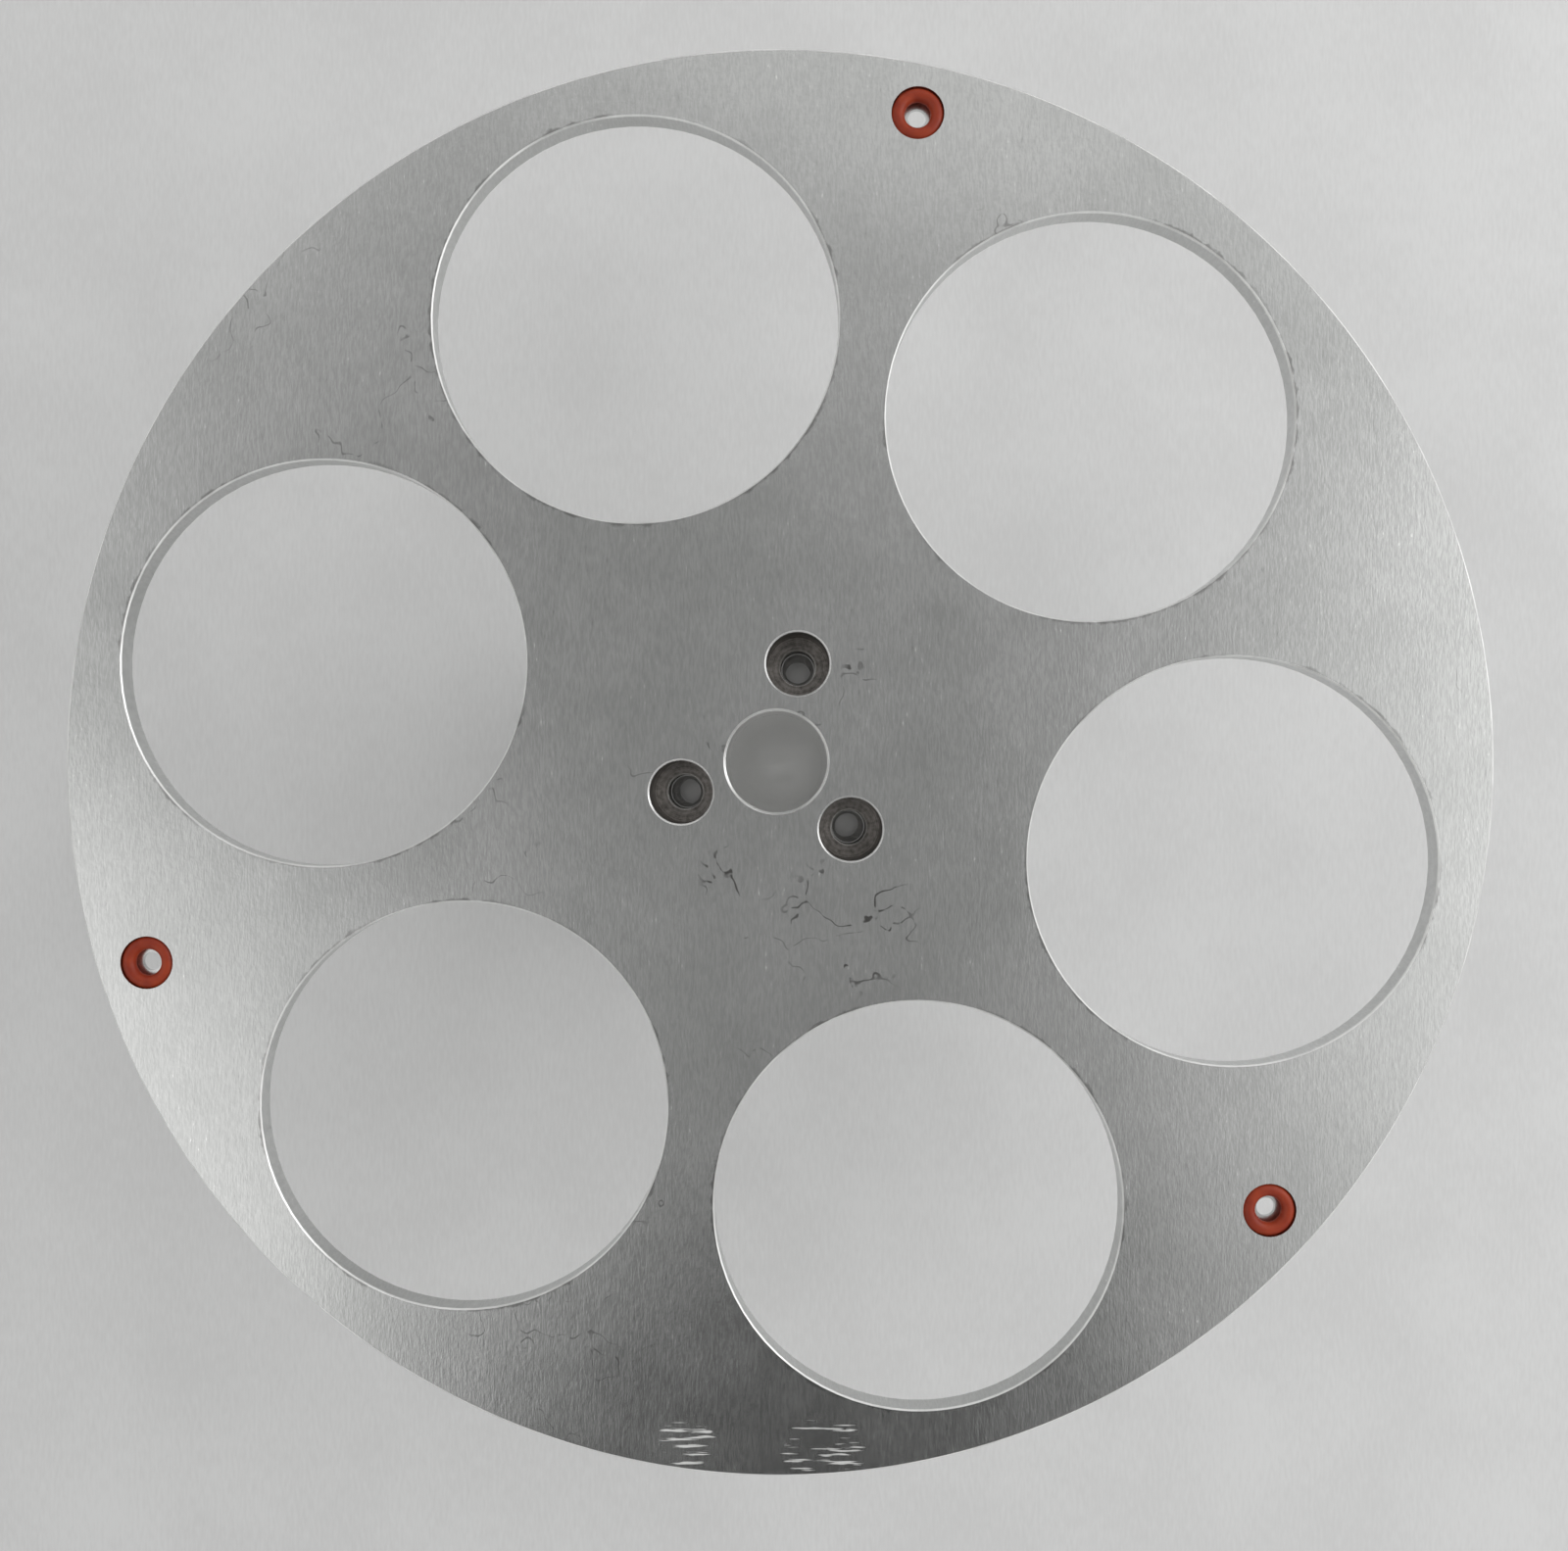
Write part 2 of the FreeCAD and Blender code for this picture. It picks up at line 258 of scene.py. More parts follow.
SCATTERED_STRENGTH = 0.5
near_bore = patches([((13 * MM, -18 * MM), 10 * MM), ((9 * MM, 13 * MM), 4 * MM),
                     ((-3 * MM, -15 * MM), 4 * MM)])
scattered = hairline(1 / (14 * MM), 0.004, (0.3, 0.1, 0), 0.6)
scattered = calc(tree, "MULTIPLY", scattered, SCATTERED_STRENGTH)
beside_bore = hairline(1 / (10 * MM), 0.009, (0.43, 0.61, 0), 0.2)
beside_bore = calc(tree, "MULTIPLY", beside_bore, near_bore)
hairlines = calc(tree, "MULTIPLY", calc(tree, "MAXIMUM", scattered, beside_bore), on_face)
print("hairline scratches")

# %% Pale scuffs near the rim
STREAK_LENGTH = 5 * MM
STREAK_WIDTH = 0.4 * MM
INSIDE_PATCH = 0.3
near_rim = patches([((7 * MM, -85 * MM), 5 * MM), ((24 * MM, -82.5 * MM), 7 * MM)])
streak_scale = (1 / STREAK_LENGTH, 1 / STREAK_WIDTH, 1 / STREAK_LENGTH)
streak_noise = noise(tree, stretch(tree, place, -VIEW_TURN, streak_scale), 1.0, 2.0)
streaks = calc(tree, "MULTIPLY_ADD", near_rim, INSIDE_PATCH, streak_noise)
scuffs = calc(tree, "MULTIPLY", mask(tree, streaks, 0.89, 0.98), on_face)
print("pale scuffs", round(STREAK_LENGTH / MM, 1), "mm long")

# %% [markdown]
# ## Dirt along the openings
# A cloth never quite reaches the foot of an edge, so a broken line of dirt stays along each
# opening. It could be painted round each one. All six are alike, so the plate is folded into one
# sixth of itself, like a paper star, and the dirt follows the distance from the nearest edge.


# %% Dirt along the edges
def from_nearest_hole(count, first_angle, pitch_radius):
    """The distance from the nearest centre of a ring of holes, by folding the plate."""
    share = 2 * math.pi / count
    angle = calc(tree, "ARCTAN2", front, side)
    turned = calc(tree, "ADD", angle, share / 2 - first_angle)
    folded = calc(tree, "SUBTRACT", calc(tree, "FLOORED_MODULO", turned, share), share / 2)
    out = calc(tree, "MULTIPLY", radius, calc(tree, "COSINE", folded))
    out = calc(tree, "SUBTRACT", out, pitch_radius)
    aside = calc(tree, "MULTIPLY", radius, calc(tree, "SINE", folded))
    squares = calc(tree, "ADD", calc(tree, "POWER", out, 2), calc(tree, "POWER", aside, 2))
    return calc(tree, "SQRT", squares)


from_edge = from_nearest_hole(len(drain_boxes), 0.0, drain_pitch)
from_edge = calc(tree, "SUBTRACT", from_edge, DRAIN_RADIUS)
ragged = calc(tree, "MULTIPLY_ADD", noise(tree, place, 1 / (1.5 * MM), 3.0), 1.4 * MM, from_edge)
edge_dirt = calc(tree, "MULTIPLY", mask(tree, ragged, 1.2 * MM, 0.85 * MM),
                 mask(tree, noise(tree, place, 1 / (11 * MM), 1.0), 0.44, 0.6))
edge_dirt = calc(tree, "MULTIPLY", edge_dirt, on_face)
print("dirt along", len(drain_boxes), "openings")

# %% [markdown]
# ## Inside the holes
# A drill and a counterbore leave scored rings, and a reamer leaves the bore smooth. The walls of
# the screw holes are painted dark as well, which is painted shade in these deep narrow holes. The
# walls could get materials of their own, face by face, but the flange is one mesh. So masks pick
# the walls out by height and by distance from each hole's axis. The bore is a deep narrow tube,
# which shows almost black unless its walls pass light on, so they are made brighter and smoother
# here than a real reamed bore.

# %% Inside the screw holes
SCREW_CIRCLE = 12.5 * MM
HEAD_RADIUS = 3.97 * MM
SEAT_RING = 0.3 * MM
SEAT_DEPTH_STEP = 3 * MM
below_face = mask(tree, height, face_level - 0.1 * MM, face_level - 0.5 * MM)
from_screw = from_nearest_hole(3, math.pi / 2, SCREW_CIRCLE)
in_head = mask(tree, from_screw, HEAD_RADIUS * 1.08, HEAD_RADIUS * 1.04)
in_screw_hole = calc(tree, "MULTIPLY", below_face, in_head)
seat_inputs = {"X": calc(tree, "DIVIDE", from_screw, SEAT_RING),
               "Y": calc(tree, "DIVIDE", height, SEAT_DEPTH_STEP)}
seat_place = add_node(tree, "ShaderNodeCombineXYZ", seat_inputs).outputs[0]
seat_rings = noise(tree, seat_place, 1.0, 2.0, 0.7)
swarf_marks = noise(tree, place, 1 / (0.6 * MM), 3.0, 0.7)
print("screw holes", round(2 * HEAD_RADIUS / MM, 2), "mm across have rings")

# %% Inside the bore
BORE_RADIUS = 6.35 * MM
in_bore = mask(tree, radius, BORE_RADIUS * 1.05, BORE_RADIUS * 1.02)
in_bore = calc(tree, "MULTIPLY", below_face, in_bore)
print("bore", round(2 * BORE_RADIUS / MM, 2), "mm across is smooth")

# %% [markdown]
# ## Burnished edge breaks
# Every machined edge is broken with a small chamfer, so that it doesn't cut hands or film, and
# wear rubs that chamfer bright. A node that looks for sharp edges could find them, but it works
# only in one renderer and is lost in an export. Rings at each hole's own radius find them too,
# and a slow noise dims them in places.

# %% Find the edge breaks
BORE_BREAK = 0.25 * MM
HEAD_BREAK = 0.18 * MM
DRAIN_BREAK = 0.15 * MM
RIM_BREAK = 0.2 * MM
SOFT = 0.02 * MM
DRAIN_BREAK_STRENGTH = 0.5
bore_edge = BORE_RADIUS + BORE_BREAK
head_edge = HEAD_RADIUS + HEAD_BREAK
rim_edge = rim_radius - RIM_BREAK
near_face = mask(tree, height, face_level - 0.3 * MM, face_level - 0.26 * MM)
bore_break = mask(tree, radius, bore_edge + SOFT, bore_edge)
head_break = mask(tree, from_screw, head_edge + SOFT, head_edge)
drain_break = mask(tree, from_edge, DRAIN_BREAK + SOFT, DRAIN_BREAK)
drain_break = calc(tree, "MULTIPLY", drain_break, DRAIN_BREAK_STRENGTH)
rim_break = mask(tree, radius, rim_edge - SOFT, rim_edge)
breaks = calc(tree, "MAXIMUM", bore_break, head_break)
breaks = calc(tree, "MAXIMUM", breaks, drain_break)
breaks = calc(tree, "MAXIMUM", breaks, rim_break)
breaks = calc(tree, "MULTIPLY", breaks, near_face)
print("edge breaks of the face found")

# %% Add the breaks in the counterbores and rub them
SHANK_RADIUS = 2.2 * MM
SEAT_LEVEL = face_level - 7.5 * MM
near_seat = mask(tree, height, SEAT_LEVEL - 0.18 * MM, SEAT_LEVEL - 0.14 * MM)
shank_outside = mask(tree, from_screw, SHANK_RADIUS * 1.09, SHANK_RADIUS * 1.07)
shank_inside = mask(tree, from_screw, SHANK_RADIUS * 0.99, SHANK_RADIUS)
shank_break = calc(tree, "MULTIPLY", shank_outside, shank_inside)
shank_break = calc(tree, "MULTIPLY", calc(tree, "MULTIPLY", shank_break, near_seat), below_face)
breaks = calc(tree, "MAXIMUM", breaks, shank_break)
rubbed = mask(tree, noise(tree, place, 1 / (7 * MM), 2.0), 0.35, 0.6)
breaks = calc(tree, "MULTIPLY", breaks, calc(tree, "MULTIPLY_ADD", rubbed, 0.5, 0.5))
print("edge breaks are rubbed bright in places")

# %% [markdown]
# ## Put the satin finish together
# Colours are laid over each other from the ground up, as wear is: clean metal, dull stains,
# grain, nicks, dirt, scuffs, then the holes and the edges. One large mix could do it, but one
# blend for each layer can be changed by itself.

# %% Colours of the satin finish
CLEAN = (0.70, 0.705, 0.70, 1)
DULL = (0.63, 0.637, 0.63, 1)
TICK = (0.42, 0.425, 0.42, 1)
BRIGHT = (0.97, 0.97, 0.96, 1)
GRIME = (0.10, 0.095, 0.09, 1)
# The two drilled tones are painted shade inside the deep screw holes, not the metal's own colour.
SHADED_DRILL_WALL = (0.36, 0.34, 0.322, 1)
SHADED_DRILL_MARKS = (0.14, 0.132, 0.125, 1)
REAMED = (0.95, 0.95, 0.945, 1)
GRAIN_TINT = 0.2
TICK_TINT = 0.6
HAIRLINE_TINT = 0.85
DIRT_TINT = 0.5
SCUFF_TINT = 0.65

colour = blend_colours(tree, mask(tree, stains, 0.35, 0.65), CLEAN, DULL)
fine_grain = calc(tree, "MULTIPLY", mask(tree, grain, 0.6, 0.4), GRAIN_TINT)
colour = blend_colours(tree, fine_grain, colour, TICK)
colour = blend_colours(tree, calc(tree, "MULTIPLY", dark_ticks, TICK_TINT), colour, TICK)
colour = blend_colours(tree, bright_nicks, colour, BRIGHT)
dark_marks = calc(tree, "MAXIMUM", calc(tree, "MULTIPLY", hairlines, HAIRLINE_TINT),
                  calc(tree, "MULTIPLY", edge_dirt, DIRT_TINT))
colour = blend_colours(tree, dark_marks, colour, GRIME)
colour = blend_colours(tree, calc(tree, "MULTIPLY", scuffs, SCUFF_TINT), colour, BRIGHT)
print("satin colours blended")

# %% Colours inside the holes and on the edges
colour = blend_colours(tree, in_bore, colour, REAMED)
# The screw hole walls blend the real cut rings between two painted shade tones.
cut_marks = calc(tree, "MULTIPLY_ADD", seat_rings, 0.6, calc(tree, "MULTIPLY", swarf_marks, 0.4))
shaded_drill_wall = blend_colours(tree, mask(tree, cut_marks, 0.38, 0.62), SHADED_DRILL_WALL, SHADED_DRILL_MARKS)
colour = blend_colours(tree, in_screw_hole, colour, shaded_drill_wall)
colour = blend_colours(tree, breaks, colour, BRIGHT)
tree.links.new(colour, shader.inputs["Base Color"])
shader.inputs["Metallic"].default_value = 1.0
print("holes and edges coloured")

# %% Roughness of the satin finish
SATIN_ROUGHNESS = 0.17
BORE_POLISH = 0.7
roughness = calc(tree, "MULTIPLY_ADD", smudges, 0.08, SATIN_ROUGHNESS)
drain_wall = mask(tree, from_edge, 0.16 * MM, 0.12 * MM)
for marks, added in ((grain, 0.06), (scuffs, 0.3), (in_screw_hole, 0.2), (drain_wall, 0.2),
                     (breaks, 0.25)):
    roughness = calc(tree, "MULTIPLY_ADD", marks, added, roughness)
roughness = calc(tree, "MULTIPLY", roughness, calc(tree, "MULTIPLY_ADD", in_bore, -BORE_POLISH, 1.0))
tree.links.new(roughness, shader.inputs["Roughness"])
print("satin roughness from", SATIN_ROUGHNESS)

# %% Grain and scratches that tilt the surface
GRAIN_DEPTH = 0.01 * MM
HAIRLINE_DEPTH = 0.006 * MM
grain_height = calc(tree, "ADD", grain, calc(tree, "MULTIPLY", long_grain, 0.3))
grain_height = calc(tree, "MULTIPLY_ADD", speckle, 0.7, grain_height)
grain_height = calc(tree, "MULTIPLY", grain_height, on_face)
grain_normal = bump(tree, shader, grain_height, GRAIN_DEPTH)
bump(tree, shader, calc(tree, "MULTIPLY", hairlines, -1), HAIRLINE_DEPTH, grain_normal)
print("satin material:", len(tree.nodes), "nodes")

# %% [markdown]
# ## The turned finish of the hub
# The drum, its plugs and the sleeve are turned in a lathe, which leaves fine rings. On an outside
# that was turned along its length the rings stack up along Z, and on a faced end they are
# circles. Each part could have a texture of its own. One pattern serves all four here, because it
# reads the height on walls and the radius on flat ends.

# %% Make the rings
turned, tree, shader, place = new_material("turned_hub")
FEED = 0.14 * MM
WIDE_FEED = 9 * FEED
radius, _, _, height = measure_place(tree, place)
facing_parts = {"Vector": add_node(tree, "ShaderNodeNewGeometry").outputs["Normal"]}
facing = add_node(tree, "ShaderNodeSeparateXYZ", facing_parts).outputs["Z"]
on_end = mask(tree, calc(tree, "ABSOLUTE", facing), 0.4, 0.7)
along = add_node(tree, "ShaderNodeMix", {0: on_end, 2: height, 3: radius}).outputs[0]


def ring_pattern(spacing, detail):
    """A random value for each turn of the lathe."""
    step = {"X": calc(tree, "DIVIDE", along, spacing)}
    return noise(tree, add_node(tree, "ShaderNodeCombineXYZ", step).outputs[0], 1.0, detail, 0.7)


rings = ring_pattern(FEED, 2.0)
wide_rings = ring_pattern(WIDE_FEED, 3.0)
print("turned rings", round(FEED / MM, 2), "mm apart")

# %% Put the turned finish together
TURNED = (0.76, 0.76, 0.755, 1)
TURNED_DULL = (0.67, 0.67, 0.665, 1)
TURNED_ROUGHNESS = 0.24
SLEEVE_POLISH = 0.75
RING_DEPTH = 0.012 * MM
handling = noise(tree, place, 1 / (12 * MM), 4.0, 0.6)
colour = blend_colours(tree, mask(tree, handling, 0.3, 0.75), TURNED, TURNED_DULL)
reamed = mask(tree, radius, BORE_RADIUS * 1.04, BORE_RADIUS * 1.01)
colour = blend_colours(tree, reamed, colour, REAMED)
tree.links.new(colour, shader.inputs["Base Color"])
shader.inputs["Metallic"].default_value = 1.0
roughness = calc(tree, "MULTIPLY_ADD", handling, 0.08, TURNED_ROUGHNESS)
roughness = calc(tree, "MULTIPLY_ADD", wide_rings, 0.14, roughness)
roughness = calc(tree, "MULTIPLY", roughness, calc(tree, "MULTIPLY_ADD", reamed, -SLEEVE_POLISH, 1.0))
tree.links.new(roughness, shader.inputs["Roughness"])
bump(tree, shader, calc(tree, "MULTIPLY", rings, calc(tree, "SUBTRACT", 1.0, reamed)), RING_DEPTH)
print("turned material:", len(tree.nodes), "nodes")

# %% [markdown]
# ## Red silicone
# The O-rings are moulded red silicone: matt, slightly see-through at the skin, with fine dust on
# it. Plain red paint would look hard, so a little subsurface scattering softens it,
# and speckles of a paler red stand for the dust.

# %% Make the silicone material
silicone, tree, shader, place = new_material("red_silicone_ring")
DEEP_RED = (0.21, 0.018, 0.003, 1)
PLAIN_RED = (0.29, 0.032, 0.005, 1)
DUSTY_RED = (0.33, 0.065, 0.025, 1)
SKIN_DEPTH = 0.015 * MM
speckle = noise(tree, place, 1 / (0.5 * MM), 4.0, 0.7)
cloud = noise(tree, place, 1 / (2.2 * MM), 2.0)
colour = blend_colours(tree, mask(tree, cloud, 0.3, 0.7), DEEP_RED, PLAIN_RED)
colour = blend_colours(tree, mask(tree, speckle, 0.62, 0.8), colour, DUSTY_RED)
tree.links.new(colour, shader.inputs["Base Color"])
shader.inputs["Subsurface Weight"].default_value = 0.12
shader.inputs["Subsurface Scale"].default_value = 0.4 * MM
tree.links.new(calc(tree, "MULTIPLY_ADD", speckle, 0.2, 0.45), shader.inputs["Roughness"])
shader.inputs["Specular IOR Level"].default_value = 0.35
bump(tree, shader, speckle, SKIN_DEPTH)
print("silicone material ready")

# %% [markdown]
# ## Finishes on the frame's own parts
# The machined parts could be copied and detailed, but their shapes are right as they are. So they
# stay and only get the new finishes.

# %% Assign the finishes
def finish_part(name, material):
    """Put a material in every slot of one of the frame's parts."""
    for own_slot in nodes[name].material_slots:
        own_slot.material = material


finish_part("flange_plate", satin)
for name in ("drum_tube", "upper_end_plug", "lower_end_plug", "spindle_sleeve"):
    finish_part(name, turned)
print("finished parts:", [name for name in nodes if not name.startswith("o_ring")])


# %% [markdown]
# ## Geometry Nodes helpers
# The rings and the threads repeat, so Geometry Nodes make them. Copies of one mesh would do, but
# a tree is built once, has named inputs for its sizes, and each object sets its own on a
# modifier. The result is turned into a plain mesh, which is what the reel keeps.

# %% Build and apply a tree
def new_tree(name, sizes):
    """An empty Geometry Nodes tree with one named number input for each size."""
    tree = bpy.data.node_groups.new(name, "GeometryNodeTree")
    for size_name, value in sizes.items():
        kind = "NodeSocketInt" if isinstance(value, int) else "NodeSocketFloat"
        socket = tree.interface.new_socket(size_name, in_out="INPUT", socket_type=kind)
        socket.default_value = value
    tree.interface.new_socket("Geometry", in_out="OUTPUT", socket_type="NodeSocketGeometry")
    given = tree.nodes.new("NodeGroupInput").outputs
    return tree, given


def end_tree(tree, geometry, material):
    """Realize the instances, set the finish and end the tree."""
    real = add_node(tree, "GeometryNodeRealizeInstances", {"Geometry": geometry}).outputs[0]
    inputs = {"Geometry": real, "Material": material}
    made = add_node(tree, "GeometryNodeSetMaterial", inputs).outputs[0]
    tree.links.new(made, tree.nodes.new("NodeGroupOutput").inputs[0])


def make_piece(name, tree, sizes, body):
    """Run a tree with its own sizes and keep the result as a plain mesh on a body."""
    holder = bpy.data.objects.new(name, bpy.data.meshes.new(name))
    bpy.context.scene.collection.objects.link(holder)
    modifier = holder.modifiers.new("shape", "NODES")
    modifier.node_group = tree
    for item in tree.interface.items_tree:
        if item.in_out == "INPUT" and item.name in sizes:
            modifier[item.identifier] = sizes[item.name]
    evaluated = holder.evaluated_get(bpy.context.evaluated_depsgraph_get())
    holder.data = bpy.data.meshes.new_from_object(evaluated)
    holder.modifiers.remove(modifier)
    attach(holder, body)
    print(name, "has", len(holder.data.polygons), "faces")
    return holder


# %% [markdown]
# ## O-rings
# A moulded O-ring is not a perfect torus. Its two halves meet on the outer and inner equator and
# leave a hair of flash there. A ready-made torus has no flash, so the outline here is a circle
# pushed out a little at two points, swept round a larger circle.

# %% Draw the outline with its flash
FLASH = 0.03 * MM
RING_SIZES = {"Ring radius": 2.45 * MM, "Cord radius": 0.85 * MM, "Flash": FLASH,
              "Centre X": 0.0, "Centre Y": 0.0, "Centre Z": 0.0}
ring_tree, given = new_tree("moulded_o_ring", RING_SIZES)
circle = add_node(ring_tree, "GeometryNodeCurvePrimitiveCircle",
                  {"Resolution": 48, "Radius": given["Cord radius"]}).outputs["Curve"]
spot = add_node(ring_tree, "GeometryNodeInputPosition").outputs[0]
across = add_node(ring_tree, "ShaderNodeSeparateXYZ", {"Vector": spot}).outputs
off_equator = calc(ring_tree, "ABSOLUTE", calc(ring_tree, "DIVIDE", across["Y"], given["Cord radius"]))
flash = calc(ring_tree, "MULTIPLY", mask(ring_tree, off_equator, 0.14, 0.0), given["Flash"])
outwards = calc(ring_tree, "MULTIPLY", calc(ring_tree, "SIGN", across["X"]), flash)
push = add_node(ring_tree, "ShaderNodeCombineXYZ", {"X": outwards}).outputs[0]
outline = add_node(ring_tree, "GeometryNodeSetPosition", {"Geometry": circle, "Offset": push}).outputs[0]
print("outline with", round(FLASH / MM, 2), "mm of flash")

# %% Sweep the outline round the ring
path = add_node(ring_tree, "GeometryNodeCurvePrimitiveCircle",
                {"Resolution": 96, "Radius": given["Ring radius"]}).outputs["Curve"]
path = add_node(ring_tree, "GeometryNodeSetCurveNormal", {"Curve": path}, mode="Z_UP").outputs[0]
swept = add_node(ring_tree, "GeometryNodeCurveToMesh",
                 {"Curve": path, "Profile Curve": outline}).outputs[0]
centre = add_node(ring_tree, "ShaderNodeCombineXYZ",
                  {"X": given["Centre X"], "Y": given["Centre Y"], "Z": given["Centre Z"]}).outputs[0]
placed = add_node(ring_tree, "GeometryNodeTransform",
                  {"Geometry": swept, "Translation": centre}).outputs[0]
end_tree(ring_tree, placed, silicone)
print("ring tree:", len(ring_tree.nodes), "nodes")

# %% Make the three O-rings
for number in (1, 2, 3):
    node_name = "o_ring_%d" % number
    low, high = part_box(node_name)
    cord = (high[2] - low[2]) / 2
    middle = [(low[axis] + high[axis]) / 2 for axis in range(3)]
    sizes = {"Ring radius": (high[0] - low[0]) / 2 - cord, "Cord radius": cord - FLASH,
             "Centre X": middle[0], "Centre Y": middle[1], "Centre Z": middle[2]}
    ring = make_piece("moulded_ring_%d" % number, ring_tree, sizes, "flange")
    ring.data.shade_smooth()
    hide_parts(node_name)

# %% [markdown]
# ## Threads in the end plugs
# The plugs' blind screw holes have number 8-32 threads. A thread could be a bump on the wall, but
# it shows in the mesh and in shadow only when it is real. So it is a ridge wound as a helix: a
# short trapezium, wide at the wall and narrow at the crest, swept along a spiral, and set out
# three times on the screw circle.

# %% Sizes of the thread
HOLE_RADIUS = 3.45 / 2 * MM
HOLE_DEPTH = 9.0 * MM
PITCH = 25.4 / 32 * MM
DEPTH = 0.16 * MM
COUNTERSINK = 0.35 * MM
threaded = HOLE_DEPTH - COUNTERSINK - 2 * PITCH

CREST = PITCH / 4
FOOT = CREST + 2 * DEPTH * math.tan(math.radians(30))
SUNK = 0.02 * MM
print("thread height", round(threaded / MM, 2), "mm,", round(threaded / PITCH, 1), "turns")

# %% Wind one ridge
THREAD_SIZES = {"Hole radius": HOLE_RADIUS, "Height": threaded, "Turns": threaded / PITCH,
                "Screw circle": SCREW_CIRCLE, "Start level": 0.0, "Holes": 3}
thread_tree, given = new_tree("tapped_thread", THREAD_SIZES)
spiral = add_node(thread_tree, "GeometryNodeCurveSpiral",
                  {"Resolution": 28, "Rotations": given["Turns"], "Height": given["Height"],
                   "Start Radius": given["Hole radius"], "End Radius": given["Hole radius"]}).outputs[0]
spiral = add_node(thread_tree, "GeometryNodeSetCurveNormal", {"Curve": spiral}, mode="Z_UP").outputs[0]
corners = {"Point 1": (SUNK, -FOOT / 2, 0), "Point 2": (-DEPTH, -CREST / 2, 0),
           "Point 3": (-DEPTH, CREST / 2, 0), "Point 4": (SUNK, FOOT / 2, 0)}
ridge = add_node(thread_tree, "GeometryNodeCurvePrimitiveQuadrilateral", corners, mode="POINTS").outputs[0]
wound = add_node(thread_tree, "GeometryNodeCurveToMesh",
                 {"Curve": spiral, "Profile Curve": ridge, "Fill Caps": True}).outputs[0]
print("ridge", round(DEPTH / MM, 2), "mm deep, pitch", round(PITCH / MM, 3), "mm")

# %% Set the ridges out on the screw circle
spots = add_node(thread_tree, "GeometryNodeMeshCircle",
                 {"Vertices": given["Holes"], "Radius": given["Screw circle"]}).outputs[0]
level = add_node(thread_tree, "ShaderNodeCombineXYZ", {"Z": given["Start level"]}).outputs[0]
first_on_y = Euler((0, 0, math.pi / 2))
spots = add_node(thread_tree, "GeometryNodeTransform",
                 {"Geometry": spots, "Translation": level, "Rotation": first_on_y}).outputs[0]
threads = add_node(thread_tree, "GeometryNodeInstanceOnPoints",
                   {"Points": spots, "Instance": wound}).outputs[0]
end_tree(thread_tree, threads, turned)

upper_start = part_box("upper_end_plug")[1][2] - COUNTERSINK - PITCH / 2 - threaded
lower_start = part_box("lower_end_plug")[0][2] + COUNTERSINK + PITCH / 2
for end, start in (("upper", upper_start), ("lower", lower_start)):
    make_piece(end + "_screw_threads", thread_tree, {"Start level": start}, "hub")
print("threads in both plugs")

# %% [markdown]
# ## Paper
# The reel stands on plain pale paper. A plain grey plane would look empty, so slow mottle and
# fine fibres vary it. Under the hub it is painted much whiter than real paper in that shade would look.
# That patch is painted light at the foot of the bore, where plain paper would stay dark, and it
# shows only through the bore. The paper lies a hair below the hub's end, so that the two surfaces
# don't flicker.

# %% Lay the paper
PAPER_HALF = 1.2
PAPER_LEVEL = -0.05 * MM
paper_mesh = bpy.data.meshes.new("paper")
corners = [(-PAPER_HALF, -PAPER_HALF, PAPER_LEVEL), (PAPER_HALF, -PAPER_HALF, PAPER_LEVEL),
           (PAPER_HALF, PAPER_HALF, PAPER_LEVEL), (-PAPER_HALF, PAPER_HALF, PAPER_LEVEL)]
paper_mesh.from_pydata(corners, [], [(0, 1, 2, 3)])
paper = bpy.data.objects.new("paper", paper_mesh)
bpy.context.scene.collection.objects.link(paper)
print("paper", 2 * PAPER_HALF, "m across")

# %% Give the paper its finish
PAPER_DARK = (0.58, 0.58, 0.58, 1)
PAPER_LIGHT = (0.63, 0.632, 0.632, 1)
# Near white paper colour for the painted light under the hub.
PAINTED_LIGHT_WHITE = (0.96, 0.96, 0.96, 1)
PAPER_RELIEF = 0.5 * MM
paper_material, tree, shader, place = new_material("pale_paper")
mottle = noise(tree, place, 1 / (26 * MM), 4.0, 0.55)
fibre_place = stretch(tree, place, -VIEW_TURN, (1 / (0.5 * MM), 1 / (2.5 * MM), 1.0))
fibres = noise(tree, fibre_place, 1.0, 3.0, 0.6)
cast = calc(tree, "ADD", calc(tree, "MULTIPLY", mottle, 0.5), calc(tree, "MULTIPLY", fibres, 0.5))
tone = blend_colours(tree, mask(tree, cast, 0.34, 0.66), PAPER_DARK, PAPER_LIGHT)
off_centre = add_node(tree, "ShaderNodeVectorMath", {0: place}, operation="LENGTH").outputs["Value"]
# Under the hub the paper is painted near white: painted light at the foot of the bore.
painted_light_under_hub = mask(tree, off_centre, drum_radius, drum_radius * 0.9)
tone = blend_colours(tree, painted_light_under_hub, tone, PAINTED_LIGHT_WHITE)
tree.links.new(tone, shader.inputs["Base Color"])
shader.inputs["Roughness"].default_value = 0.8
bump(tree, shader, mottle, PAPER_RELIEF)
paper_mesh.materials.append(paper_material)
print("paper material:", len(tree.nodes), "nodes")

# %% [markdown]
# ## Light
# The light is a soft dome, like a room with pale walls: dim straight above, where the camera is,
# brighter towards the sides, and darker on the near side, where a person stands. Lamps alone would
# show as hard spots, because the satin face mirrors whatever lights it. The dome gives it broad
# soft tones instead.

# %% Start the dome
world = bpy.data.worlds.new("soft_dome")
bpy.context.scene.world = world
world.use_nodes = True
tree = world.node_tree
tree.nodes.clear()
looking = add_node(tree, "ShaderNodeTexCoord").outputs["Generated"]
upward = add_node(tree, "ShaderNodeSeparateXYZ", {"Vector": looking}).outputs["Z"]
print("dome started")


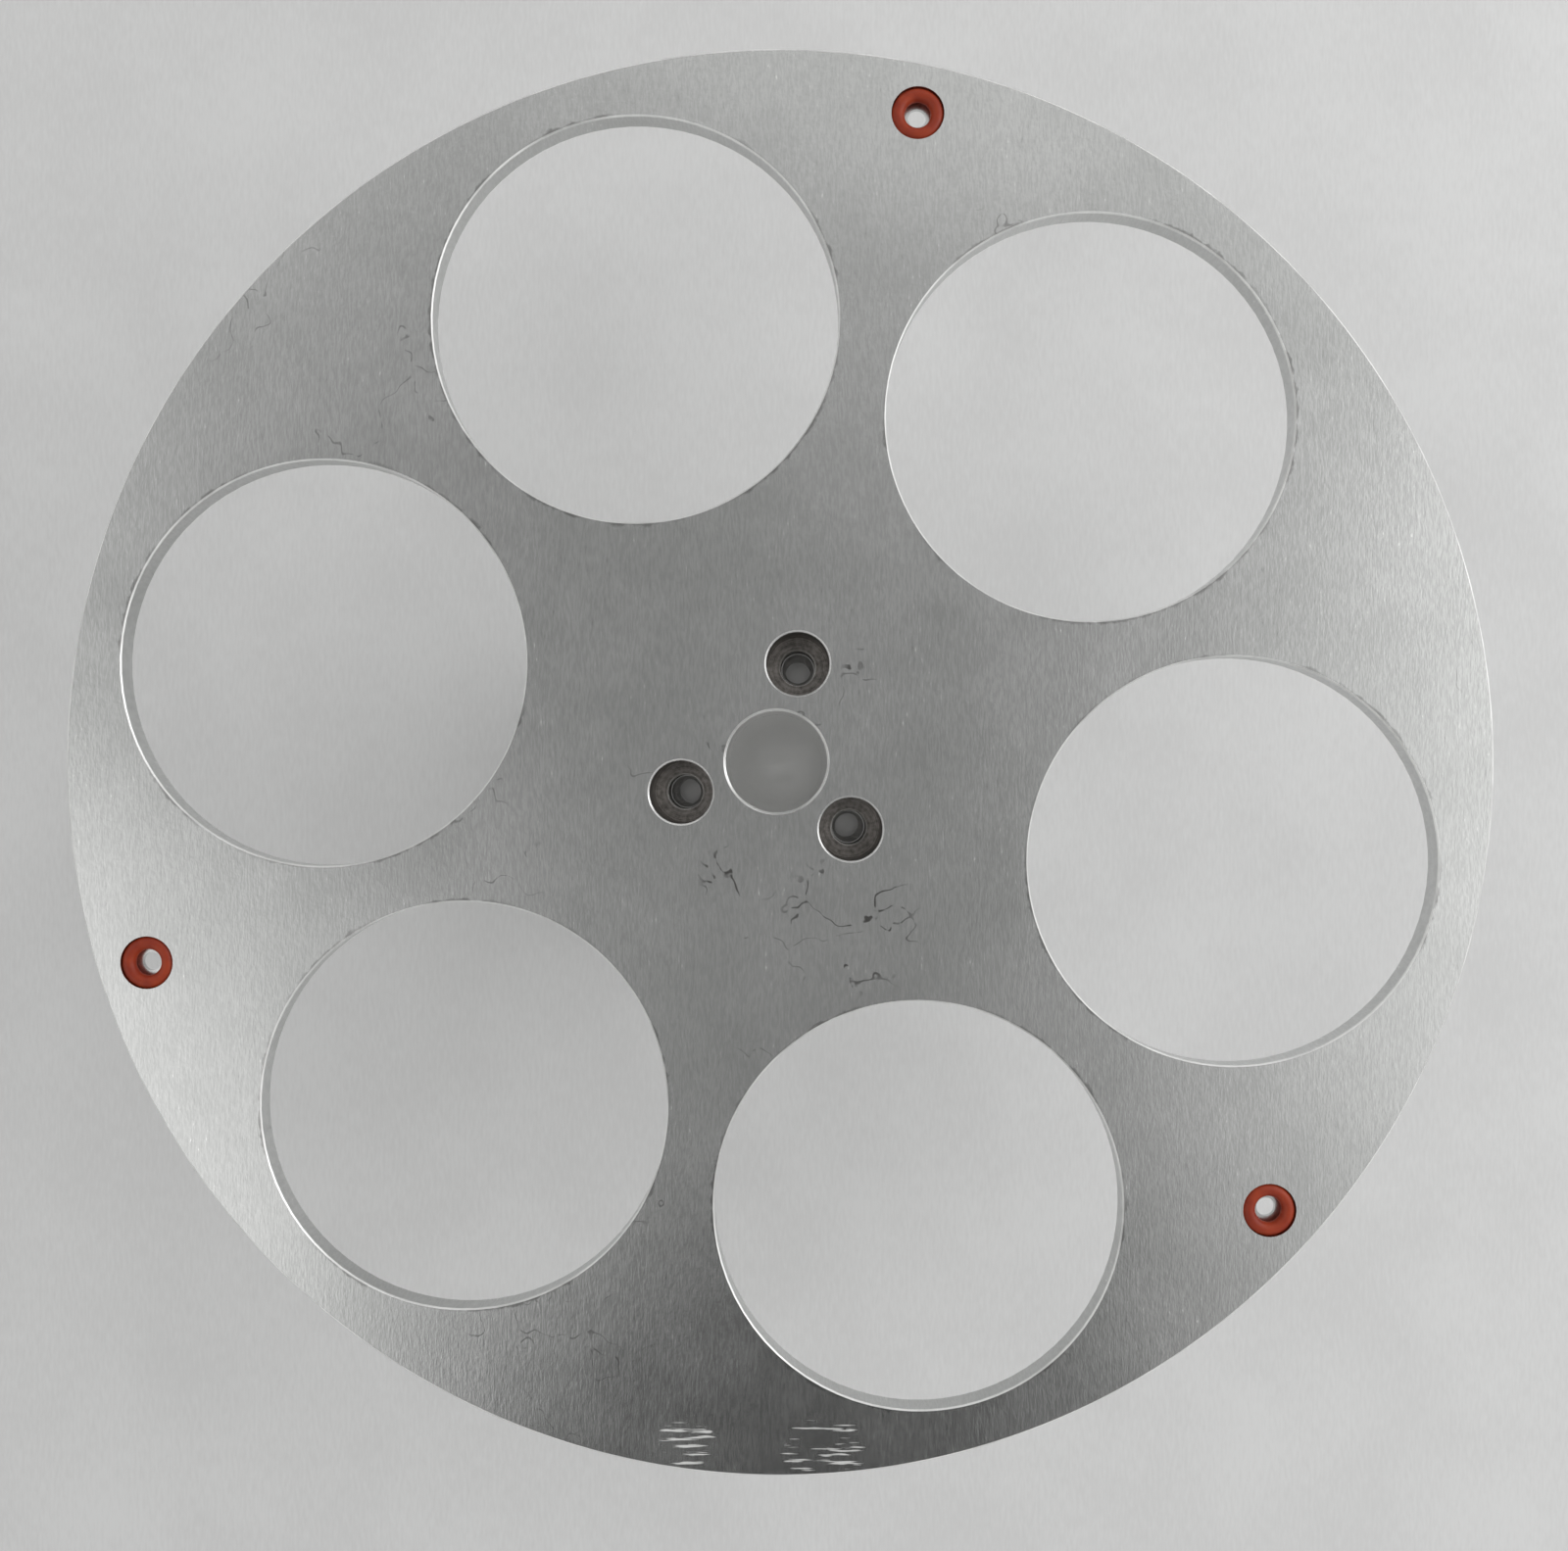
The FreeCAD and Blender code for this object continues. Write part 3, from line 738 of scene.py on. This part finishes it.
# %% Directions and lobes of the dome
def towards(turn_deg, tilt_deg):
    """A direction by its turn round the reel, as seen by the camera, and its tilt from straight up."""
    turn = math.radians(turn_deg) + VIEW_TURN
    tilt = math.radians(tilt_deg)
    return Vector((math.cos(turn) * math.sin(tilt), math.sin(turn) * math.sin(tilt), math.cos(tilt)))


def lobe(direction, inner_deg, outer_deg):
    """1 near a direction of the dome, fading to 0 outside it."""
    inputs = {0: looking, 1: direction}
    closeness = add_node(tree, "ShaderNodeVectorMath", inputs, operation="DOT_PRODUCT").outputs["Value"]
    return mask(tree, closeness, math.cos(math.radians(outer_deg)), math.cos(math.radians(inner_deg)))


print("straight up is", tuple(towards(0, 0)))

# %% Rings of brightness from the horizon to the top
STOPS = [(0.0, 0.95), (0.08, 0.85), (0.2, 0.5), (0.6, 1.05), (0.79, 1.35), (0.87, 0.72), (0.94, 0.385),
         (0.975, 0.29), (1.0, 0.265)]
ramp = add_node(tree, "ShaderNodeValToRGB", {"Fac": upward})
ramp.color_ramp.elements[0].position = STOPS[0][0]
ramp.color_ramp.elements[1].position = STOPS[-1][0]
for position, _ in STOPS[1:-1]:
    ramp.color_ramp.elements.new(position)
BRIGHTEST = 1.4
for element, (_, strength) in zip(ramp.color_ramp.elements, STOPS):
    element.color = (strength / BRIGHTEST,) * 3 + (1,)
strength = calc(tree, "MULTIPLY", ramp.outputs["Color"], BRIGHTEST)
print("dome light with", len(STOPS), "rings")

# %% Shade and light from the things in the room
PERSON_SHADE = 0.96
CORNER_SHADE = 0.3
WINDOW_GLOW = 0.4
FAR_WALL_GLOW = 0.09
DOME_COLOUR = (1.0, 1.0, 0.99, 1)
person = lobe(towards(-92, 34), 12, 22)
strength = calc(tree, "MULTIPLY", strength, calc(tree, "MULTIPLY_ADD", person, -PERSON_SHADE, 1.0))
corners = calc(tree, "ADD", lobe(towards(138, 32), 8, 26), lobe(towards(-50, 34), 6, 22))
strength = calc(tree, "MULTIPLY", strength, calc(tree, "MULTIPLY_ADD", corners, -CORNER_SHADE, 1.0))
windows = calc(tree, "ADD", lobe(towards(-151, 31), 4, 20), lobe(towards(-8, 31), 5, 22))
strength = calc(tree, "MULTIPLY_ADD", windows, WINDOW_GLOW, strength)
far_wall = lobe(towards(85, 20), 3, 14)
strength = calc(tree, "MULTIPLY_ADD", far_wall, FAR_WALL_GLOW, strength)
background = add_node(tree, "ShaderNodeBackground", {"Color": DOME_COLOUR, "Strength": strength})
output = add_node(tree, "ShaderNodeOutputWorld")
tree.links.new(background.outputs[0], output.inputs["Surface"])
bpy.context.scene.view_settings.view_transform = "Standard"
print("dome finished:", len(tree.nodes), "nodes")

# %% [markdown]
# ## Light in the bore and from the right
# Light gets down the bore only by many reflections from its wall. The usual limit of four stops
# it, and the usual filter on glossy light leaves it out, so the limit is raised and the filter
# turned off. Moving a lamp over the bore would work too, but its mirror image would show in the
# face. One soft lamp stands low on the right, out of the face's mirror view, and brightens the
# paper on that side.

# %% Let light travel down the bore
BORE_BOUNCES = 24
tracing = bpy.context.scene.cycles
tracing.max_bounces = BORE_BOUNCES
tracing.glossy_bounces = BORE_BOUNCES
tracing.blur_glossy = 0.0
print("light may bounce", tracing.glossy_bounces, "times in the bore")

# %% Add a soft lamp on the right
LAMP_POWER = 2.0
LAMP_WIDTH = 0.5
LAMP_DISTANCE = 0.7
lamp_data = bpy.data.lights.new("side_lamp", "AREA")
lamp_data.shape = "DISK"
lamp_data.size = LAMP_WIDTH
lamp_data.energy = LAMP_POWER
lamp = bpy.data.objects.new("side_lamp", lamp_data)
lamp.location = LAMP_DISTANCE * towards(16, 61)
lamp.rotation_euler = (-lamp.location).to_track_quat("-Z", "Y").to_euler()
bpy.context.scene.collection.objects.link(lamp)
print("lamp", LAMP_WIDTH, "m wide")
